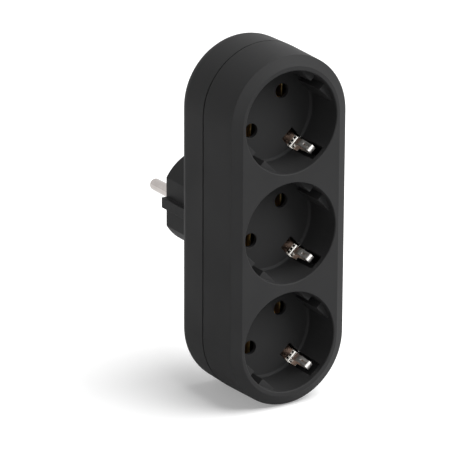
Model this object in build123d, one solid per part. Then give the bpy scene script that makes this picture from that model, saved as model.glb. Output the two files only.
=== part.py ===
from build123d import *
from math import atan, cos, degrees, radians, sin, tan
import os

# Three-way earthed outlet adapter with a round plug on its back.
# Origin at the centre of the plug's face, +Y out of the face, +Z up.
# Depths are counted from the front face of the housing towards the wall.

# Housing
well_pitch = 42.8
plug_drop = 2.7
joint_half_width = 25.4
front_draft = 0.65
back_draft = 0.2
end_rise = 0.5
bevel_width = 3.85
bevel_depth = 2.1
joint_depth = 20.6
housing_depth = 38.6
back_edge_radius = 5.5
wall = 2.2
back_wall = 1.8
joint_gap = 0.8
lip_thickness = 0.9
lip_height = 2.5
lip_clearance = 0.3

# Outlet wells
well_radius = 19.6
well_depth = 17.5
well_edge = 0.3
well_foot = 0.8
cup_wall = 2.1
floor_thickness = 1.8
pin_spacing = 19.0
pin_radius = 2.4
pin_length = 19.0
pin_tip_radius = 1.8
pin_hole_clearance = 0.4
keyway_angle = 45
earth_slot_turn = 87
ear_chord = 16.7
ear_gap = 5.4
ear_setback = 3.0
earth_slot_width = 6.0
earth_slot_inner = 13.5
earth_slot_top = 2.4
earth_slot_margin = 1.3

# Plug body
plug_length = 26.3
plug_radius = 19.05
plug_flat = 16.4
plug_wall = 3.1
plug_face_wall = 3.0
plug_rib_width = 4.0
plug_rib_height = 2.1
nose_length = 2.5
nose_inset = 1.8
pin_boss_wall = 1.6
pin_boss_length = 11.0
side_groove_width = 6.4
side_groove_depth = 1.6
earth_hole_offset = 10.0
earth_hole_radius = 2.8

# Plug pins
neck_radius = 2.7
collar_radius = 3.6
collar_length = 1.5
tail_radius = 2.2
tail_length = 24.0
blade_length = 12.0
blade_thickness = 1.8
fit_clearance = 0.3
sleeve_clearance = 0.05

# Contacts and bars
contact_thickness = 0.6
contact_width = 11.0
contact_depth = 22.0
contact_tab = 9.0
contact_arm = 4.2
bend_drop = 4.4
bar_thickness = 0.8
bar_width = 8.0
bar_depth = 24.0
bar_rest_height = 4.0
bar_rest_length = 4.0
bar_rest_wall = 1.5
tongue_reach = 18.0
tongue_width = 4.8

# Earth parts
earth_thickness = 0.6
earth_width = 5.0
earth_bar_thickness = 0.8
clip_arm_radius = 20.3
clip_root_depth = 14.2
clip_top_radius = 19.5
clip_top_depth = 5.7
clip_return = 1.8
clip_bulge_radius = 16.5
clip_bulge_depth = 11.0
clip_tip_radius = 17.4
clip_tip_depth = 14.8
clip_leaf_width = 2.7
clip_window_width = 0.8
clip_window_start = 0.7
clip_window_length = 3.2
clip_vent_size = 1.0
clip_vent_spacing = 1.5
strap_arm_radius = 14.5
strap_joggle = 20.0
strap_end = 3.6
sleeve_wall = 0.6
sleeve_length = 13.0
sleeve_slit = 1.0
sleeve_tail_width = 4.0
post_radius = 2.0

# Rivets and screws
rivet_radius = 1.0
rivet_head_radius = 1.9
rivet_head = 0.6
screw_offset = 17.0
screw_radius = 1.4
screw_length = 18.0
screw_head_radius = 2.9
screw_head_height = 2.2
screw_seat_depth = 30.0
screw_boss_wall = 1.8
recess_clearance = 0.4
cross_width = 0.8

# Places that follow from the sizes
front_y = -(housing_depth + plug_length)
front_half_width = joint_half_width - front_draft
face_half_width = front_half_width - bevel_width
back_half_width = joint_half_width - back_draft
rows = {"top": plug_drop + well_pitch, "middle": plug_drop, "bottom": plug_drop - well_pitch}
floor_back = well_depth + floor_thickness
cup_radius = well_radius + cup_wall
hole_radius = pin_radius + pin_hole_clearance
nose_start = housing_depth + plug_length - nose_length
face_depth = housing_depth + plug_length
pin_offset = pin_spacing / 2
contact_step = pin_offset * cos(radians(keyway_angle))
earth_angle = keyway_angle + earth_slot_turn
leaf_x = contact_step + pin_radius
bar_x = leaf_x + contact_thickness
bar_back = bar_depth + bar_width
clip_back = floor_back + earth_thickness
earth_bar_back = clip_back + earth_bar_thickness
strap_back = earth_bar_back + earth_thickness
groove_floor = plug_radius - side_groove_depth
shell_inside = joint_half_width - wall
bar_rest_rows = [plug_drop + s * well_pitch / 2 for s in (-1, 1)]


def join(parts):
    return Part() + list(parts)


def at_depth(depth, z=0.0, x=0.0):
    """Plane parallel to the front face, seen from the front, at a depth."""
    return Plane(origin=(x, front_y + depth, z), x_dir=(1, 0, 0), z_dir=(0, -1, 0))


def prism(sketch, front, back, z=0.0, turn=0.0, x=0.0):
    """Solid of a sketch between two depths."""
    return extrude(at_depth(back, z, x) * (Rot(0, 0, turn) * sketch), amount=back - front)


def radial_plane(z, angle):
    """Plane through a well's axis: first coordinate outwards at an angle, second the depth."""
    c, s = cos(radians(angle)), sin(radians(angle))
    return Plane(origin=(0, front_y, z), x_dir=(c, 0, s), z_dir=(-s, 0, c))


def pin_pair(radius):
    """Two circles at the places of a plug's pins."""
    return Sketch() + [Pos(x, 0) * Circle(radius) for x in (-pin_offset, pin_offset)]


def obround(start, end):
    """Housing form with half-round ends between two (half-width, depth) pairs, tapered as they say."""
    plane = Plane(origin=(0, front_y + start[1], plug_drop), x_dir=(1, 0, 0), z_dir=(0, 1, 0))
    outline = SlotCenterToCenter(2 * (well_pitch + end_rise), 2 * start[0], rotation=90)
    length = end[1] - start[1]
    return extrude(plane * outline, amount=length, taper=degrees(atan((start[0] - end[0]) / length)))


def stack(sections):
    """Solid through a row of (half-width, depth) pairs of the housing form."""
    return join(obround(start, end) for start, end in zip(sections, sections[1:]))


def strip(points, width, thickness, radius, plane):
    """Metal strip bent along a line of points, with rounded bends."""
    line = Polyline(*points)
    line = fillet(line.vertices().sort_by(line)[1:-1], radius)
    return extrude(plane * trace(line, thickness), amount=width / 2, both=True)


# Front shell
bevel_angle = atan(bevel_depth / bevel_width)
inner_face = face_half_width - wall * tan(bevel_angle / 2)
inner_front = front_half_width - wall
inner_bevel_depth = wall + (inner_front - inner_face) * tan(bevel_angle)
front_edge = joint_depth - joint_gap / 2
back_edge = joint_depth + joint_gap / 2
lip_top = front_edge - lip_height
lip_outside = shell_inside + lip_thickness

front_form = stack([(face_half_width, 0), (front_half_width, bevel_depth), (joint_half_width, front_edge)])
front_hollow = stack([(inner_face, wall), (inner_front, inner_bevel_depth), (inner_front, front_edge)])
lip_space = stack([(lip_outside + lip_clearance, lip_top), (lip_outside + lip_clearance, front_edge)])
cups = join(prism(Circle(cup_radius), wall / 2, floor_back, z) for z in rows.values())
screw_places = [(sx * screw_offset, plug_drop + sz * well_pitch / 2) for sx in (-1, 1) for sz in (-1, 1)]
boss_radius = screw_radius + screw_boss_wall
front_bosses = join(prism(Circle(boss_radius), wall / 2, joint_depth, z, 0, x) for x, z in screw_places)
pilot_top = screw_seat_depth - screw_length
pilots = join(prism(Circle(screw_radius), pilot_top, joint_depth, z, 0, x) for x, z in screw_places)

ear = Circle(well_radius + cup_wall / 2) - Rectangle(2 * ear_chord, 3 * well_radius)
ear -= Rectangle(3 * well_radius, ear_gap)
slot_reach = clip_arm_radius + earth_thickness / 2 + earth_slot_margin
earth_slots = Rectangle(2 * slot_reach, earth_slot_width)
earth_slots -= Rectangle(2 * earth_slot_inner, 2 * earth_slot_width)
pin_holes = pin_pair(hole_radius)


def well(z):
    """Round bowl with a bevelled rim and a sloped foot."""
    profile = make_face(Polyline((0, 0), (well_radius + well_edge, 0), (well_radius, well_edge),
                                 (well_radius, well_depth - well_foot),
                                 (well_radius - well_foot, well_depth), (0, well_depth), (0, 0)))
    return Pos(0, front_y, z) * revolve(profile, Axis.Y)


front_shell = (front_form - front_hollow - lip_space) + cups + front_bosses - pilots
for z in rows.values():
    front_shell -= well(z)
    front_shell += prism(ear, ear_setback, well_depth + floor_thickness / 2, z, keyway_angle)
    front_shell -= prism(earth_slots, earth_slot_top, floor_back, z, earth_angle)
    front_shell -= prism(pin_holes, 0, floor_back, z, keyway_angle)
    front_shell -= prism(Circle(rivet_head_radius + fit_clearance), floor_back - rivet_head, floor_back, z)

# Rear shell with the plug body
rear_form = stack([(joint_half_width, back_edge), (back_half_width, housing_depth)])
back_rim = rear_form.faces().sort_by(Axis.Y)[-1].edges()
rear_form = fillet(back_rim, back_edge_radius)
inner_corner = (back_edge_radius - back_wall) * (2 - 2 ** 0.5) + 0.5 * back_wall
hollow_back = housing_depth - back_wall
rear_hollow = stack([(shell_inside, back_edge), (shell_inside, hollow_back - inner_corner),
                     (shell_inside - inner_corner, hollow_back)])
lip = stack([(lip_outside, lip_top), (lip_outside, back_edge)])
lip -= stack([(shell_inside, lip_top), (shell_inside, back_edge)])

plug_outline = Circle(plug_radius) & Rectangle(2 * plug_flat, 3 * plug_radius)
plug_ribs = Rectangle(2 * (plug_flat + plug_rib_height), plug_rib_width)
plug_body = prism(plug_outline + plug_ribs, housing_depth - back_wall, nose_start)
nose_angle = degrees(atan(nose_inset / nose_length))
nose_plane = Plane(origin=(0, front_y + nose_start, 0), x_dir=(1, 0, 0), z_dir=(0, 1, 0))
plug_nose = extrude(nose_plane * plug_outline, amount=nose_length, taper=nose_angle)
inner_flat = plug_flat - (plug_wall - side_groove_depth / 2)
plug_bore = Circle(plug_radius - plug_wall) & Rectangle(2 * inner_flat, 3 * plug_radius)
plug_hollow = prism(plug_bore, housing_depth - 2 * back_wall, face_depth - plug_face_wall)

boss_outside = collar_radius + fit_clearance + pin_boss_wall
boss_start = face_depth - plug_face_wall - pin_boss_length
pin_bosses = prism(pin_pair(boss_outside), boss_start, face_depth - plug_face_wall)
boss_bores = prism(pin_pair(collar_radius + fit_clearance), boss_start, face_depth - plug_face_wall)
face_holes = prism(pin_pair(neck_radius), boss_start, face_depth)
earth_hole = prism(Circle(earth_hole_radius), face_depth - 2 * plug_face_wall, face_depth, earth_hole_offset)
grooves = Circle(2 * plug_radius) - Circle(groove_floor)
grooves &= Rectangle(side_groove_width, 4 * plug_radius)
joggle_depth = face_depth - strap_joggle
side_grooves = prism(grooves, joggle_depth, face_depth)
strap_slot = Rectangle(side_groove_width, 2 * groove_floor + 1) - Rectangle(3 * plug_radius, strap_arm_radius)
strap_slots = prism(strap_slot, joggle_depth - 1.5, joggle_depth + 3.5)

rear_boss_radius = screw_head_radius + recess_clearance + screw_boss_wall / 2
rear_bosses = join(prism(Circle(rear_boss_radius), joint_depth, housing_depth - back_wall / 2, z, 0, x)
                   for x, z in screw_places)
shank_way = Circle(screw_radius + fit_clearance)
head_way = Circle(screw_head_radius + recess_clearance)
screw_ways = join(prism(shank_way, joint_depth, screw_seat_depth, z, 0, x)
                  + prism(head_way, screw_seat_depth, housing_depth, z, 0, x)
                  for x, z in screw_places)
rest_front = bar_back - bar_rest_height
rest_outline = Rectangle(bar_thickness + 2 * (fit_clearance + bar_rest_wall), bar_rest_length)
rest_slot = Rectangle(bar_thickness + 2 * fit_clearance, 2 * bar_rest_length)
bar_middle_x = bar_x + bar_thickness / 2
bar_rests = join(prism(rest_outline, rest_front, housing_depth - back_wall / 2, z, 0, s * bar_middle_x)
                 - prism(rest_slot, rest_front, bar_back, z, 0, s * bar_middle_x)
                 for s in (-1, 1) for z in bar_rest_rows)
earth_posts = join(prism(Circle(post_radius), earth_bar_back, housing_depth - back_wall / 2, z)
                   for z in bar_rest_rows)

rear_shell = (rear_form - rear_hollow) + lip + rear_bosses - screw_ways + bar_rests + earth_posts
rear_shell += plug_body + plug_nose
rear_shell = rear_shell - plug_hollow + pin_bosses - boss_bores - face_holes - earth_hole
rear_shell -= side_grooves + strap_slots


# Plug pins: round shank with a domed tip, a neck in the plug's face, a collar behind it and a flat tail
def plug_pin(side):
    collar_back = -plug_face_wall - collar_length
    outline = Polyline((0, pin_length), (0, -tail_length), (tail_radius, -tail_length),
                       (tail_radius, collar_back), (collar_radius, collar_back),
                       (collar_radius, -plug_face_wall), (neck_radius, -plug_face_wall),
                       (neck_radius, 0), (pin_radius, 0), (pin_radius, pin_length), (0, pin_length))
    shank = Pos(side * pin_offset, 0, 0) * revolve(make_face(outline), Axis.Y)
    shank = fillet(shank.edges().sort_by(Axis.Y)[-1], pin_tip_radius)
    blade_y = -tail_length + blade_length / 2
    blade = Pos(side * (bar_x - blade_thickness / 2), blade_y, 0)
    blade = blade * Box(blade_thickness, blade_length, 2 * tail_radius)
    tail = Pos(side * pin_offset, blade_y, 0) * Box(3 * pin_radius, blade_length, 3 * pin_radius)
    return shank - tail + (shank & blade)


# Current bars: a strip on edge with a tongue that reaches into the plug body
contact_middle = contact_depth + contact_width / 2
rivet_rise = (contact_tab + pin_radius) / 2
pin_rivet_depth = face_depth - tail_length + blade_length / 2
live_z = {name: z - contact_step for name, z in rows.items()}
neutral_z = {name: z + contact_step for name, z in rows.items()}


def across(depth, z, radius, x_from, x_to):
    """Round rod along X."""
    rod = Cylinder(radius, abs(x_to - x_from), rotation=(0, 90, 0))
    return Pos((x_from + x_to) / 2, front_y + depth, z) * rod


def busbar(low, high, rivet_rows):
    bar = Box(bar_thickness, bar_width, high - low, align=(Align.MIN, Align.MIN, Align.MIN))
    bar = Pos(bar_x, front_y + bar_depth, low) * bar
    tongue = Box(bar_thickness, bar_width + tongue_reach, tongue_width,
                 align=(Align.MIN, Align.MIN, Align.CENTER))
    bar += Pos(bar_x, front_y + bar_depth, 0) * tongue
    for z in rivet_rows:
        bar -= across(contact_middle, z, rivet_radius, bar_x, bar_x + bar_thickness)
    return bar - across(pin_rivet_depth, 0, rivet_radius, bar_x, bar_x + bar_thickness)


live_rivets = [z + rivet_rise for z in live_z.values()]
neutral_rivets = [z - rivet_rise for z in neutral_z.values()]
live_busbar = mirror(busbar(live_z["bottom"] - bend_drop, live_z["top"] + contact_tab, live_rivets), Plane.YZ)
neutral_busbar = busbar(neutral_z["bottom"] - contact_tab, neutral_z["top"] + bend_drop, neutral_rivets)


# Contact spring: two leaves joined by a round bend beside the pin, with a bevelled mouth
def contact(x, z, turn):
    leaf = pin_radius + contact_thickness / 2
    fixed = Line((-leaf, contact_tab), (-leaf, -bend_drop))
    bend = SagittaArc((-leaf, -bend_drop), (leaf, -bend_drop), -leaf)
    free = Line((leaf, -bend_drop), (leaf, contact_arm - 1))
    flare = Line((leaf, contact_arm - 1), (leaf + contact_thickness / 2, contact_arm))
    outline = trace(fixed + bend + free + flare, contact_thickness)
    spring = prism(outline, contact_depth, contact_depth + contact_width, z, turn, x)
    mouth = Plane(origin=(x, front_y + contact_depth, z), x_dir=(1, 0, 0), z_dir=(0, 1, 0))
    spring -= extrude(mouth * Circle(pin_radius + contact_thickness / 2), amount=1.2, taper=14)
    side = -1 if turn == 0 else 1
    return spring - across(contact_middle, z - side * rivet_rise, rivet_radius, x + side * pin_radius / 2,
                           x + side * 2 * pin_radius)


live_contacts = {name: contact(-contact_step, z, 0) for name, z in live_z.items()}
neutral_contacts = {name: contact(contact_step, z, 180) for name, z in neutral_z.items()}


# Rivets
def rivet_across(depth, z, inner, outer):
    rivet = across(depth, z, rivet_radius, inner, outer)
    rivet += across(depth, z, rivet_head_radius, inner - rivet_head, inner)
    return rivet + across(depth, z, rivet_head_radius, outer, outer + rivet_head)


def rivet_through(z, front, back):
    rivet = prism(Circle(rivet_radius), front, back, z)
    rivet += prism(Circle(rivet_head_radius), front - rivet_head, front, z)
    return rivet + prism(Circle(rivet_head_radius), back, back + rivet_head, z)


bar_outside = bar_x + bar_thickness
contact_rivets = [mirror(rivet_across(contact_middle, z, leaf_x, bar_outside), Plane.YZ) for z in live_rivets]
contact_rivets += [rivet_across(contact_middle, z, leaf_x, bar_outside) for z in neutral_rivets]
pin_rivet = rivet_across(pin_rivet_depth, 0, bar_x - blade_thickness, bar_outside)
pin_rivets = [mirror(pin_rivet, Plane.YZ), pin_rivet]
rivet_way = across(pin_rivet_depth, 0, rivet_radius, 0, bar_outside)
plug_pin_live = plug_pin(-1) - mirror(rivet_way, Plane.YZ)
plug_pin_neutral = plug_pin(1) - rivet_way


# Earth bar, the three clips with a narrow windowed leaf at each end, the plug's earth strap and its sleeve
clip_reach = 2 * (clip_arm_radius + earth_thickness)
leaf_sides = Rectangle(clip_reach, 2 * earth_width) - Rectangle(2 * clip_reach, clip_leaf_width)
leaf_window = Rectangle(2 * clip_top_radius - clip_return, clip_window_width)
window_start = clip_top_depth + clip_window_start
vent_end = clip_arm_radius - clip_return / 2
vent_places = [y * clip_vent_spacing for y in (-1, 0, 1)]
vents = Sketch() + [Pos(0, y) * Rectangle(2 * vent_end, clip_vent_size) for y in vent_places]
vents -= Rectangle(2 * (vent_end - clip_vent_size), 2 * earth_width)


def earth_clip(z):
    side = [(clip_tip_radius, clip_tip_depth), (clip_bulge_radius, clip_bulge_depth),
            (clip_top_radius - clip_return, clip_top_depth), (clip_top_radius, clip_top_depth),
            (clip_arm_radius, clip_root_depth), (clip_arm_radius, floor_back + earth_thickness / 2)]
    points = side + [(-r, depth) for r, depth in reversed(side)]
    clip = strip(points, earth_width, earth_thickness, 0.48 * clip_return, radial_plane(z, earth_angle))
    clip -= prism(leaf_sides, 0, clip_root_depth, z, earth_angle)
    clip -= prism(leaf_window, window_start, window_start + clip_window_length, z, earth_angle)
    clip -= prism(vents, floor_back, clip_back, z, earth_angle)
    return clip - prism(Circle(rivet_radius), floor_back, clip_back, z)


earth_clips = {name: earth_clip(z) for name, z in rows.items()}

sleeve_inside = pin_radius + sleeve_clearance
sleeve_outside = sleeve_inside + sleeve_wall
tail_z = earth_hole_offset + sleeve_outside - sleeve_wall / 2
foot_rivet_z = tail_z - 0.5 * clip_return - rivet_head_radius - fit_clearance
foot_end_z = foot_rivet_z - rivet_head_radius - fit_clearance

bar_margin = rivet_head_radius + rivet_radius
earth_bar_outline = Rectangle(earth_width, 2 * (well_pitch + bar_margin))
earth_busbar = prism(earth_bar_outline, clip_back, earth_bar_back, plug_drop)
for z in list(rows.values()) + [foot_rivet_z]:
    earth_busbar -= prism(Circle(rivet_radius), clip_back, earth_bar_back, z)

plate_radius = groove_floor + earth_thickness / 2
side = [(plate_radius, face_depth - strap_end), (plate_radius, joggle_depth + 2.5),
        (strap_arm_radius, joggle_depth), (strap_arm_radius, earth_bar_back + earth_thickness / 2)]
points = side + [(-r, depth) for r, depth in reversed(side)]
plug_earth_strap = strip(points, earth_width, earth_thickness, 0.48 * clip_return, radial_plane(0, 90))
for z in (plug_drop, foot_rivet_z):
    plug_earth_strap -= prism(Circle(rivet_radius), earth_bar_back, strap_back, z)

sleeve_back = face_depth - plug_face_wall
sleeve_front = sleeve_back - sleeve_length
slit = Pos(0, -sleeve_outside) * Rectangle(sleeve_slit, 2 * sleeve_wall + 1)
sleeve_ring = Circle(sleeve_outside) - Circle(sleeve_inside) - slit
foot_depth = strap_back + earth_thickness / 2
tail_points = [(foot_end_z, foot_depth), (tail_z, foot_depth), (tail_z, sleeve_front + sleeve_wall)]
earth_pin_sleeve = strip(tail_points, sleeve_tail_width, sleeve_wall, 0.48 * clip_return, radial_plane(0, 90))
earth_pin_sleeve += prism(sleeve_ring, sleeve_front, sleeve_back, earth_hole_offset)
earth_pin_sleeve -= prism(Circle(rivet_radius), strap_back, strap_back + earth_thickness, foot_rivet_z)

earth_rivets = [rivet_through(rows[name], floor_back, earth_bar_back) for name in ("top", "bottom")]
earth_rivets += [rivet_through(plug_drop, floor_back, strap_back)]
earth_rivets += [rivet_through(foot_rivet_z, clip_back, strap_back + earth_thickness)]


# Housing screws: round head with a cross recess, put in from the back
def housing_screw(x, z):
    thread_start = pilot_top + screw_radius
    screw = prism(Circle(screw_radius), thread_start, screw_seat_depth, z, 0, x)
    screw += extrude(at_depth(thread_start, z, x) * Circle(screw_radius), amount=screw_radius, taper=30)
    head_back = screw_seat_depth + screw_head_height
    head = prism(Circle(screw_head_radius), screw_seat_depth, head_back, z, 0, x)
    head = chamfer(head.edges().sort_by(Axis.Y)[-1], screw_head_height / 3)
    cross = Rectangle(cross_width, screw_head_radius * 1.2) + Rectangle(screw_head_radius * 1.2, cross_width)
    return screw + head - prism(cross, head_back - screw_head_height / 2, head_back, z, 0, x)


housing_screws = [housing_screw(x, z) for x, z in screw_places]

nodes = {
    "front_shell": front_shell,
    "rear_shell": rear_shell,
    "plug_pin_live": plug_pin_live,
    "plug_pin_neutral": plug_pin_neutral,
    "live_busbar": live_busbar,
    "neutral_busbar": neutral_busbar,
    "earth_busbar": earth_busbar,
    "plug_earth_strap": plug_earth_strap,
    "earth_pin_sleeve": earth_pin_sleeve,
    "contact_rivets": Compound(children=contact_rivets),
    "pin_rivets": Compound(children=pin_rivets),
    "earth_rivets": Compound(children=earth_rivets),
    "housing_screws": Compound(children=housing_screws),
}
for name in rows:
    nodes["live_contact_" + name] = live_contacts[name]
    nodes["neutral_contact_" + name] = neutral_contacts[name]
    nodes["earth_clip_" + name] = earth_clips[name]

os.makedirs("parts", exist_ok=True)
for name, shape in nodes.items():
    export_step(shape, "parts/" + name + ".step")
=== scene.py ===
import math

import bpy
from mathutils import Matrix, Vector


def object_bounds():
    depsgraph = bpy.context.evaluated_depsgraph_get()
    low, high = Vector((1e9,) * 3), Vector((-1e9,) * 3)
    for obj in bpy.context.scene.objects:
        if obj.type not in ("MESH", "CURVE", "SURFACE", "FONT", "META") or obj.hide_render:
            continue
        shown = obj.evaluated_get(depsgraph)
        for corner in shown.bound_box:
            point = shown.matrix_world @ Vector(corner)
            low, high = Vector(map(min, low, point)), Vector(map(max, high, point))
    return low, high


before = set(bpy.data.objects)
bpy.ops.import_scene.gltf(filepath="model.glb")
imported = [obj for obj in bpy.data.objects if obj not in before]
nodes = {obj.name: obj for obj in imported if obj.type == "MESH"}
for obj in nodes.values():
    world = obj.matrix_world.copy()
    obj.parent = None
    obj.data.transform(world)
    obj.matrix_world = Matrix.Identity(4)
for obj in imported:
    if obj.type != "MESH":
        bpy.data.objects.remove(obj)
cad_low, cad_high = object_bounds()
scene = bpy.context.scene
scene.view_settings.view_transform = "Standard"

# Wells, in metres: their spacing, the middle one's height and the front's distance from the plug's face
WELL_PITCH = 0.0428
WELL_HEIGHT = (cad_low.z + cad_high.z) / 2
FRONT_DEPTH = -cad_low.y

# Camera: turn, height, roll and distance of the photograph's view of the middle well
AZIMUTH = math.radians(-31.589)
ELEVATION = math.radians(19.096)
ROLL = math.radians(0.232)
DISTANCE = 1.311158
AIM = Vector((0.0, -FRONT_DEPTH, WELL_HEIGHT))
SENSOR_WIDTH = 36.0
CLIP_NEAR, CLIP_FAR = 0.05, 20.0

# In pixels of the photograph: its side, the focal length, and the aim's place right of and below the middle
FRAME_PIXELS = 452
FOCAL_PIXELS = 3555.088
AIM_RIGHT = 64.879
AIM_BELOW = 7.769

# Range that holds most values of a noise texture
NOISE_LOW, NOISE_HIGH = 0.3, 0.7

# Cosine between the true and the softened normal where an edge begins and where it is full
EDGE_BEGINS, EDGE_FULL = 0.995, 0.9
BEVEL_SAMPLES = 6
OCCLUSION_SAMPLES = 8

# A Mix node's sockets for its two colours and its result
MIX_FIRST, MIX_SECOND, MIX_RESULT = 6, 7, 2

# Earth clips, as metres behind the front and from the well's axis: where the strap's copper tint and
# painted shade set in and where they fade out, and where the rougher part towards the well's mouth ends
STRAP_DEPTHS = (0.0176, 0.0186)
STRAP_RADII = (0.0182, 0.0188)
MOUTH_DEPTHS = (0.0115, 0.0135)
MOUTH_ROUGHNESS = 2.2

# Floor: half its side, its grey, its grey for diffuse rays, and its glow for the camera and for glossy rays
FLOOR_HALF = 3.0
FLOOR_GREY = 0.82
FLOOR_BOUNCE = 0.18
FLOOR_GLOW = 0.3
FLOOR_GLOW_MIRRORED = 0.1

# Strength of the white world for diffuse rays. Camera, glossy and transmission rays find it at 1.
WORLD_LIGHT = 0.2


def make_camera():
    back = Vector((math.sin(AZIMUTH) * math.cos(ELEVATION), -math.cos(AZIMUTH) * math.cos(ELEVATION),
                   math.sin(ELEVATION)))
    right = Vector((math.cos(AZIMUTH), math.sin(AZIMUTH), 0.0))
    up = back.cross(right)
    turned_right = math.cos(ROLL) * right + math.sin(ROLL) * up
    turned_up = math.cos(ROLL) * up - math.sin(ROLL) * right
    metres_per_pixel = DISTANCE / FOCAL_PIXELS
    place = AIM + back * DISTANCE
    place -= turned_right * AIM_RIGHT * metres_per_pixel
    place += turned_up * AIM_BELOW * metres_per_pixel
    data = bpy.data.cameras.new("camera")
    data.sensor_width = SENSOR_WIDTH
    data.lens = FOCAL_PIXELS * SENSOR_WIDTH / FRAME_PIXELS
    data.clip_start = CLIP_NEAR
    data.clip_end = CLIP_FAR
    camera = bpy.data.objects.new("camera", data)
    turn = Matrix((turned_right, turned_up, back)).transposed()
    camera.matrix_world = Matrix.Translation(place) @ turn.to_4x4()
    scene.collection.objects.link(camera)
    scene.camera = camera


# Nodes that the materials share
def new_material(name):
    material = bpy.data.materials.new(name)
    material.use_nodes = True
    tree = material.node_tree
    return material, tree, tree.nodes["Principled BSDF"]


def noise(tree, scale, detail=3.0, roughness=0.5, stretch=(1.0, 1.0, 1.0)):
    """Noise in object space, in cells per metre."""
    coordinates = tree.nodes.new("ShaderNodeTexCoord")
    mapping = tree.nodes.new("ShaderNodeMapping")
    mapping.inputs["Scale"].default_value = stretch
    texture = tree.nodes.new("ShaderNodeTexNoise")
    texture.inputs["Scale"].default_value = scale
    texture.inputs["Detail"].default_value = detail
    texture.inputs["Roughness"].default_value = roughness
    tree.links.new(coordinates.outputs["Object"], mapping.inputs["Vector"])
    tree.links.new(mapping.outputs["Vector"], texture.inputs["Vector"])
    return texture.outputs["Fac"]


def between(tree, factor, low, high, start=NOISE_LOW, end=NOISE_HIGH):
    """Value that runs from low to high as the factor runs from start to end."""
    node = tree.nodes.new("ShaderNodeMapRange")
    node.inputs["From Min"].default_value = start
    node.inputs["From Max"].default_value = end
    node.inputs["To Min"].default_value = low
    node.inputs["To Max"].default_value = high
    tree.links.new(factor, node.inputs["Value"])
    return node.outputs["Result"]


def colours(tree, factor, first, second, start=NOISE_LOW, end=NOISE_HIGH):
    """Colour that runs from first to second as the factor runs from start to end."""
    ramp = tree.nodes.new("ShaderNodeValToRGB")
    for element, position, colour in zip(ramp.color_ramp.elements, (start, end), (first, second)):
        element.position = position
        element.color = (*colour, 1.0)
    tree.links.new(factor, ramp.inputs["Fac"])
    return ramp.outputs["Color"]


def bump(tree, height, distance, strength, normal):
    """Normal that the height, with its depth in metres as the distance, bends further."""
    node = tree.nodes.new("ShaderNodeBump")
    node.inputs["Strength"].default_value = strength
    node.inputs["Distance"].default_value = distance
    tree.links.new(height, node.inputs["Height"])
    tree.links.new(normal, node.inputs["Normal"])
    return node.outputs["Normal"]


def rounded(tree, radius):
    """Normal with the edges softened to the radius."""
    node = tree.nodes.new("ShaderNodeBevel")
    node.samples = BEVEL_SAMPLES
    node.inputs["Radius"].default_value = radius
    return node.outputs["Normal"]


def math_node(tree, operation, *values):
    node = tree.nodes.new("ShaderNodeMath")
    node.operation = operation
    for value, socket in zip(values, node.inputs):
        if isinstance(value, float):
            socket.default_value = value
        else:
            tree.links.new(value, socket)
    return node.outputs[0]


def multiplied(tree, first, second):
    return math_node(tree, "MULTIPLY", first, second)


def mixed(tree, factor, first, second):
    """Colour that runs from first to second, each a socket or a plain colour."""
    node = tree.nodes.new("ShaderNodeMix")
    node.data_type = "RGBA"
    tree.links.new(factor, node.inputs["Factor"])
    for value, socket in ((first, node.inputs[MIX_FIRST]), (second, node.inputs[MIX_SECOND])):
        if isinstance(value, tuple):
            socket.default_value = (*value, 1.0)
        else:
            tree.links.new(value, socket)
    return node.outputs[MIX_RESULT]


def place_in_well(tree):
    """Distance from the axis of the nearest well, and depth behind the housing's front, in metres."""
    coordinates = tree.nodes.new("ShaderNodeTexCoord")
    parts = tree.nodes.new("ShaderNodeSeparateXYZ")
    tree.links.new(coordinates.outputs["Object"], parts.inputs[0])
    across = parts.outputs["X"]
    height = math_node(tree, "SUBTRACT", parts.outputs["Z"], WELL_HEIGHT)
    well = math_node(tree, "ROUND", math_node(tree, "DIVIDE", height, WELL_PITCH))
    well = math_node(tree, "MAXIMUM", math_node(tree, "MINIMUM", well, 1.0), -1.0)
    height = math_node(tree, "MULTIPLY_ADD", well, -WELL_PITCH, height)
    squares = math_node(tree, "MULTIPLY_ADD", height, height, multiplied(tree, across, across))
    return math_node(tree, "SQRT", squares), math_node(tree, "ADD", parts.outputs["Y"], FRONT_DEPTH)


def openness(tree, distance):
    """1 on open surfaces, less in corners and recesses within the distance."""
    node = tree.nodes.new("ShaderNodeAmbientOcclusion")
    node.samples = OCCLUSION_SAMPLES
    node.inputs["Distance"].default_value = distance
    return node.outputs["AO"]


def edges(tree, soft_normal):
    """1 on an edge, 0 on a flat: how far the softened normal leaves the true one."""
    geometry = tree.nodes.new("ShaderNodeNewGeometry")
    dot = tree.nodes.new("ShaderNodeVectorMath")
    dot.operation = "DOT_PRODUCT"
    tree.links.new(geometry.outputs["Normal"], dot.inputs[0])
    tree.links.new(soft_normal, dot.inputs[1])
    return between(tree, dot.outputs["Value"], 0.0, 1.0, EDGE_BEGINS, EDGE_FULL)


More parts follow.
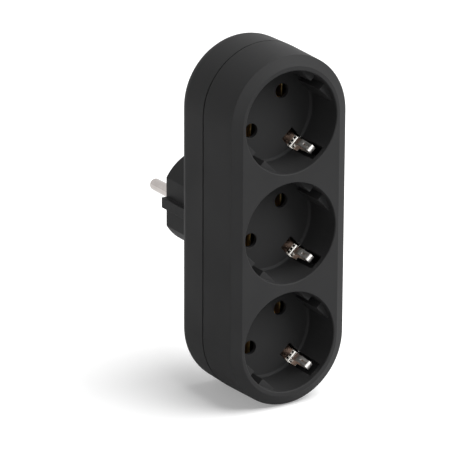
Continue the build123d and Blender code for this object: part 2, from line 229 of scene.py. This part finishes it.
# Materials
def moulded_plastic(name, base, light, worn, edge_radius):
    """Black plastic from a spark-eroded mould: fine grain, slow drift of gloss, rubbed edges."""
    material, tree, shader = new_material(name)
    drift = noise(tree, scale=45.0, detail=4.0, roughness=0.6)
    grain = noise(tree, scale=2600.0, detail=2.0, roughness=0.6)
    pores = noise(tree, scale=900.0, detail=3.0, roughness=0.7)
    soft = rounded(tree, edge_radius)
    outer = between(tree, openness(tree, distance=0.0015), 0.0, 1.0, start=0.8, end=0.98)
    wear = multiplied(tree, multiplied(tree, edges(tree, soft), outer), between(tree, pores, 0.15, 1.0))
    colour = mixed(tree, wear, colours(tree, drift, base, light), worn)
    tree.links.new(colour, shader.inputs["Base Color"])
    polish = between(tree, wear, 1.0, 0.75, start=0.0, end=1.0)
    roughness = multiplied(tree, between(tree, drift, 0.5, 0.62), polish)
    tree.links.new(roughness, shader.inputs["Roughness"])
    normal = bump(tree, pores, distance=0.00004, strength=0.35, normal=soft)
    normal = bump(tree, grain, distance=0.00002, strength=0.5, normal=normal)
    tree.links.new(normal, shader.inputs["Normal"])
    shader.inputs["Specular IOR Level"].default_value = 0.1
    return material


def worked_metal(name, base, light, rough, stretch, scratches, tint_and_painted_shade=None):
    """Metal with slight tarnish and drawing marks, which run along the axis whose stretch is the least.

    scratches is the depth of the marks in metres. The last argument, a pair of dark colours, paints a
    copper tint with painted shade on what lies behind the floors of the wells near an axis, and what lies
    towards their mouths is rougher then.
    """
    material, tree, shader = new_material(name)
    shader.inputs["Metallic"].default_value = 1.0
    tarnish = noise(tree, scale=160.0, detail=5.0, roughness=0.65)
    marks = noise(tree, scale=1500.0, detail=2.0, roughness=0.5, stretch=stretch)
    colour = colours(tree, tarnish, base, light)
    roughness = between(tree, marks, *rough)
    if tint_and_painted_shade is not None:
        # Painted shade: a dark copper tint stands for the shade on the metal behind the wells' floors
        radius, depth = place_in_well(tree)
        behind_floor = between(tree, depth, 0.0, 1.0, *STRAP_DEPTHS)
        near_axis = between(tree, radius, 1.0, 0.0, *STRAP_RADII)
        painted_shade_tint = colours(tree, tarnish, *tint_and_painted_shade)
        colour = mixed(tree, multiplied(tree, behind_floor, near_axis), colour, painted_shade_tint)
        roughness = multiplied(tree, roughness, between(tree, depth, MOUTH_ROUGHNESS, 1.0, *MOUTH_DEPTHS))
    tree.links.new(colour, shader.inputs["Base Color"])
    tree.links.new(roughness, shader.inputs["Roughness"])
    normal = bump(tree, marks, distance=scratches, strength=0.5, normal=rounded(tree, 0.00012))
    tree.links.new(normal, shader.inputs["Normal"])
    return material


housing = moulded_plastic("housing_black", base=(0.031, 0.031, 0.0315), light=(0.037, 0.037, 0.0375),
                          worn=(0.05, 0.05, 0.05), edge_radius=0.0003)
plating = worked_metal("pin_nickel", base=(0.44, 0.405, 0.385), light=(0.52, 0.485, 0.465),
                       rough=(0.07, 0.14), stretch=(1.0, 0.08, 1.0), scratches=0.000002)
brass = worked_metal("stamped_brass", base=(0.62, 0.44, 0.19), light=(0.74, 0.56, 0.27),
                     rough=(0.3, 0.45), stretch=(1.0, 1.0, 0.1), scratches=0.000008)
# The copper tint with painted shade is meant for the clips' straps. It also takes in the sleeve and all of
# the plug's strap but its lower contact, because they lie behind the middle well.
tinned = worked_metal("tinned_strip", base=(0.72, 0.70, 0.67), light=(0.80, 0.78, 0.75),
                      rough=(0.16, 0.24), stretch=(1.0, 0.1, 1.0), scratches=0.000004,
                      tint_and_painted_shade=((0.02, 0.015, 0.012), (0.15, 0.105, 0.085)))
rivet_brass = worked_metal("rivet_brass", base=(0.55, 0.40, 0.18), light=(0.70, 0.54, 0.28),
                           rough=(0.26, 0.42), stretch=(1.0, 1.0, 1.0), scratches=0.00001)
zinc = worked_metal("zinc_plating", base=(0.50, 0.50, 0.51), light=(0.62, 0.62, 0.63),
                    rough=(0.26, 0.42), stretch=(1.0, 1.0, 1.0), scratches=0.00001)

by_prefix = [
    (("front_shell", "rear_shell"), housing),
    (("plug_pin",), plating),
    (("live_", "neutral_", "earth_busbar"), brass),
    (("earth_clip", "plug_earth_strap", "earth_pin_sleeve"), tinned),
    (("contact_rivets", "pin_rivets", "earth_rivets"), rivet_brass),
    (("housing_screws",), zinc),
]
for name, node in nodes.items():
    material = next(m for starts, m in by_prefix if name.startswith(starts))
    for slot in node.material_slots:
        slot.material = material


# Stage: pale floor that keeps the shadow, white world behind it
def grey(value):
    return (value, value, value)


def make_stage():
    mesh = bpy.data.meshes.new("floor")
    corners = [(x * FLOOR_HALF, y * FLOOR_HALF, cad_low.z) for x, y in ((-1, -1), (1, -1), (1, 1), (-1, 1))]
    mesh.from_pydata(corners, [], [(0, 1, 2, 3)])
    floor = bpy.data.objects.new("floor", mesh)
    scene.collection.objects.link(floor)
    material, tree, shader = new_material("floor_white")
    shader.inputs["Roughness"].default_value = 0.9
    shader.inputs["Specular IOR Level"].default_value = 0.1
    rays = tree.nodes.new("ShaderNodeLightPath").outputs
    colour = colours(tree, rays["Is Diffuse Ray"], grey(FLOOR_GREY), grey(FLOOR_BOUNCE), start=0.0, end=1.0)
    tree.links.new(colour, shader.inputs["Base Color"])
    mirrored = between(tree, rays["Is Glossy Ray"], 0.0, FLOOR_GLOW_MIRRORED, start=0.0, end=1.0)
    glow = math_node(tree, "MULTIPLY_ADD", rays["Is Camera Ray"], FLOOR_GLOW, mirrored)
    shader.inputs["Emission Color"].default_value = (*grey(1.0), 1.0)
    tree.links.new(glow, shader.inputs["Emission Strength"])
    mesh.materials.append(material)
    return floor


def make_world():
    world = bpy.data.worlds.new("world")
    scene.world = world
    world.use_nodes = True
    tree = world.node_tree
    background = tree.nodes["Background"]
    background.inputs["Color"].default_value = (*grey(1.0), 1.0)
    rays = tree.nodes.new("ShaderNodeLightPath").outputs
    strength = rays["Is Glossy Ray"]
    for ray in ("Is Camera Ray", "Is Transmission Ray"):
        strength = math_node(tree, "MAXIMUM", strength, rays[ray])
    tree.links.new(math_node(tree, "MAXIMUM", strength, WORLD_LIGHT), background.inputs["Strength"])


def sun(name, azimuth, elevation, strength, angle, lit):
    """Distant lamp for the lit objects: azimuth 0 shines on the front, 90 on the right side."""
    a, e = math.radians(azimuth), math.radians(elevation)
    data = bpy.data.lights.new(name, "SUN")
    data.energy = strength
    data.angle = math.radians(angle)
    lamp = bpy.data.objects.new(name, data)
    toward = Vector((math.sin(a) * math.cos(e), -math.cos(a) * math.cos(e), math.sin(e)))
    lamp.rotation_mode = "QUATERNION"
    lamp.rotation_quaternion = toward.to_track_quat("Z", "Y")
    scene.collection.objects.link(lamp)
    receivers = bpy.data.collections.new("lit_by_" + name)
    for thing in lit:
        receivers.objects.link(thing)
    lamp.light_linking.receiver_collection = receivers


make_camera()
floor = make_stage()
make_world()
sun("key", azimuth=38.0, elevation=36.0, strength=2.95, angle=50.0, lit=nodes.values())
sun("fill", azimuth=-30.0, elevation=32.0, strength=0.6, angle=50.0, lit=nodes.values())
sun("floor_lamp", azimuth=54.0, elevation=62.0, strength=4.0, angle=66.0, lit=[floor])
